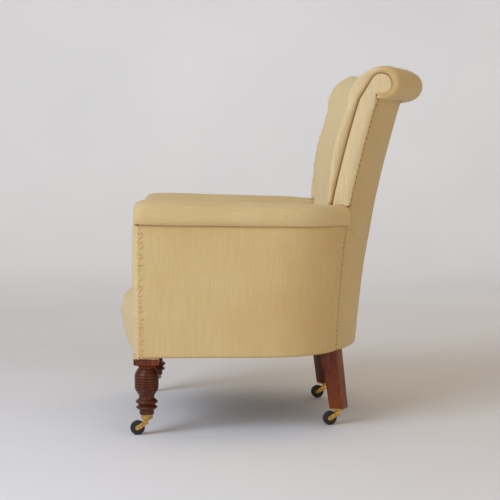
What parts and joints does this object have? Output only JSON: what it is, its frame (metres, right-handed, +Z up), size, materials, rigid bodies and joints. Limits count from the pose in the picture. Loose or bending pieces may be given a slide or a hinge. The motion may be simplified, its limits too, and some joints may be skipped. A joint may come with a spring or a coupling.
{
  "type": "upholstered armchair",
  "caption": "Upholstered tub armchair with a barrel-curved scroll back, padded roll arms and a sprung seat on turned and raked wooden legs with castors.",
  "frame": {"origin": "at floor level under the middle of the chair's overall width and depth", "axes": "+Z up, the chair faces -Y, +X to the sitter's left"},
  "size_m": [0.6768, 0.7739, 0.884],
  "materials": {
    "straw_linen": "woven cotton and linen, straw coloured, matt",
    "mahogany": "french polished",
    "beech": "sawn, unfinished",
    "brass": "aged, worn bright on the edges",
    "dark_wheel": "worn satin",
    "steel": "dull",
    "webbing": "herringbone jute",
    "hessian": "coarse open weave",
    "black_cloth": "thin calico"
  },
  "bodies": {
    "chair": {"arm_facing_left": "straw_linen", "arm_facing_right": "straw_linen", "arm_pad_left": "straw_linen", "arm_pad_right": "straw_linen", "arm_rail_left": "beech", "arm_rail_right": "beech", "arm_stump_left": "beech", "arm_stump_right": "beech", "back_post_left": "beech", "back_post_right": "beech", "back_seat_rail": "beech", "back_stays": "beech", "back_webbing": "webbing", "castor_cup_front_left": "brass", "castor_cup_front_right": "brass", "castor_plate_rear_left": "brass", "castor_plate_rear_right": "brass", "castor_plate_screws": "steel", "corner_block_screws": "steel", "corner_blocks": "beech", "dust_cover": "black_cloth", "front_leg_left": "mahogany", "front_leg_right": "mahogany", "front_seat_rail": "beech", "inside_back": "straw_linen", "lower_back_rail": "beech", "outside_arm_left": "straw_linen", "outside_arm_right": "straw_linen", "outside_back": "straw_linen", "rear_leg_left": "mahogany", "rear_leg_right": "mahogany", "scroll_facing_left": "straw_linen", "scroll_facing_right": "straw_linen", "scroll_rail": "beech", "seat_hessian": "hessian", "seat_pad": "straw_linen", "seat_springs": "steel", "seat_webbing_crosswise": "webbing", "seat_webbing_lengthwise": "webbing", "side_seat_rail_left": "beech", "side_seat_rail_right": "beech"},
    "castor_front_left": {"castor_horn_front_left": "brass", "castor_axle_front_left": "brass"},
    "wheel_front_left": {"castor_wheel_front_left": "dark_wheel"},
    "castor_front_right": {"castor_horn_front_right": "brass", "castor_axle_front_right": "brass"},
    "wheel_front_right": {"castor_wheel_front_right": "dark_wheel"},
    "castor_rear_left": {"castor_horn_rear_left": "brass", "castor_axle_rear_left": "brass"},
    "wheel_rear_left": {"castor_wheel_rear_left": "dark_wheel"},
    "castor_rear_right": {"castor_horn_rear_right": "brass", "castor_axle_rear_right": "brass"},
    "wheel_rear_right": {"castor_wheel_rear_right": "dark_wheel"}
  },
  "joints": [
    {"name": "swivel_front_left", "type": "hinge", "parent": "chair", "child": "castor_front_left", "pos_m": [0.285, -0.31, 0.0395], "axis": [0, 0, 1], "continuous": true},
    {"name": "roll_front_left", "type": "hinge", "parent": "castor_front_left", "child": "wheel_front_left", "pos_m": [0.285, -0.332, 0.0175], "axis": [1, 0, 0], "continuous": true},
    {"name": "swivel_front_right", "type": "hinge", "parent": "chair", "child": "castor_front_right", "pos_m": [-0.285, -0.31, 0.0395], "axis": [0, 0, 1], "continuous": true},
    {"name": "roll_front_right", "type": "hinge", "parent": "castor_front_right", "child": "wheel_front_right", "pos_m": [-0.285, -0.332, 0.0175], "axis": [1, 0, 0], "continuous": true},
    {"name": "swivel_rear_left", "type": "hinge", "parent": "chair", "child": "castor_rear_left", "pos_m": [0.18434, 0.16096, 0.0395], "axis": [0, 0, 1], "continuous": true},
    {"name": "roll_rear_left", "type": "hinge", "parent": "castor_rear_left", "child": "wheel_rear_left", "pos_m": [0.18434, 0.13896, 0.0175], "axis": [1, 0, 0], "continuous": true},
    {"name": "swivel_rear_right", "type": "hinge", "parent": "chair", "child": "castor_rear_right", "pos_m": [-0.18434, 0.16096, 0.0395], "axis": [0, 0, 1], "continuous": true},
    {"name": "roll_rear_right", "type": "hinge", "parent": "castor_rear_right", "child": "wheel_rear_right", "pos_m": [-0.18434, 0.13896, 0.0175], "axis": [1, 0, 0], "continuous": true}
  ]
}
